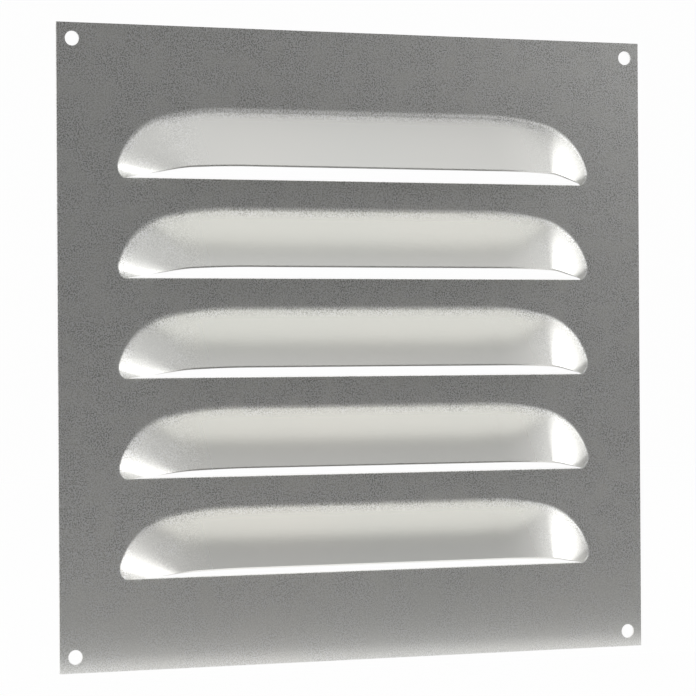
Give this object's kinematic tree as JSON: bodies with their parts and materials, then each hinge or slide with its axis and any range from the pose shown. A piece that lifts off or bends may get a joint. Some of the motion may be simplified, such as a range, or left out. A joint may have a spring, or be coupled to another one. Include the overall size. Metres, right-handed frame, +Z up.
{
  "type": "louvred vent panel",
  "caption": "Flat square vent panel of thin aluminium sheet, with a column of round-ended hooded louvres that open downwards and a fixing hole in each corner.",
  "frame": {"origin": "centre of the four fixing holes, on the flat back of the sheet", "axes": "+X along the louvres, +Y out of the flat back towards the wall, +Z up; the hoods stand out towards -Y and open downwards"},
  "size_m": [0.242, 0.0192, 0.242],
  "materials": {
    "sheet": "satin mill finish"
  },
  "bodies": {
    "root": {"louvre_panel": "sheet"}
  },
  "joints": []
}
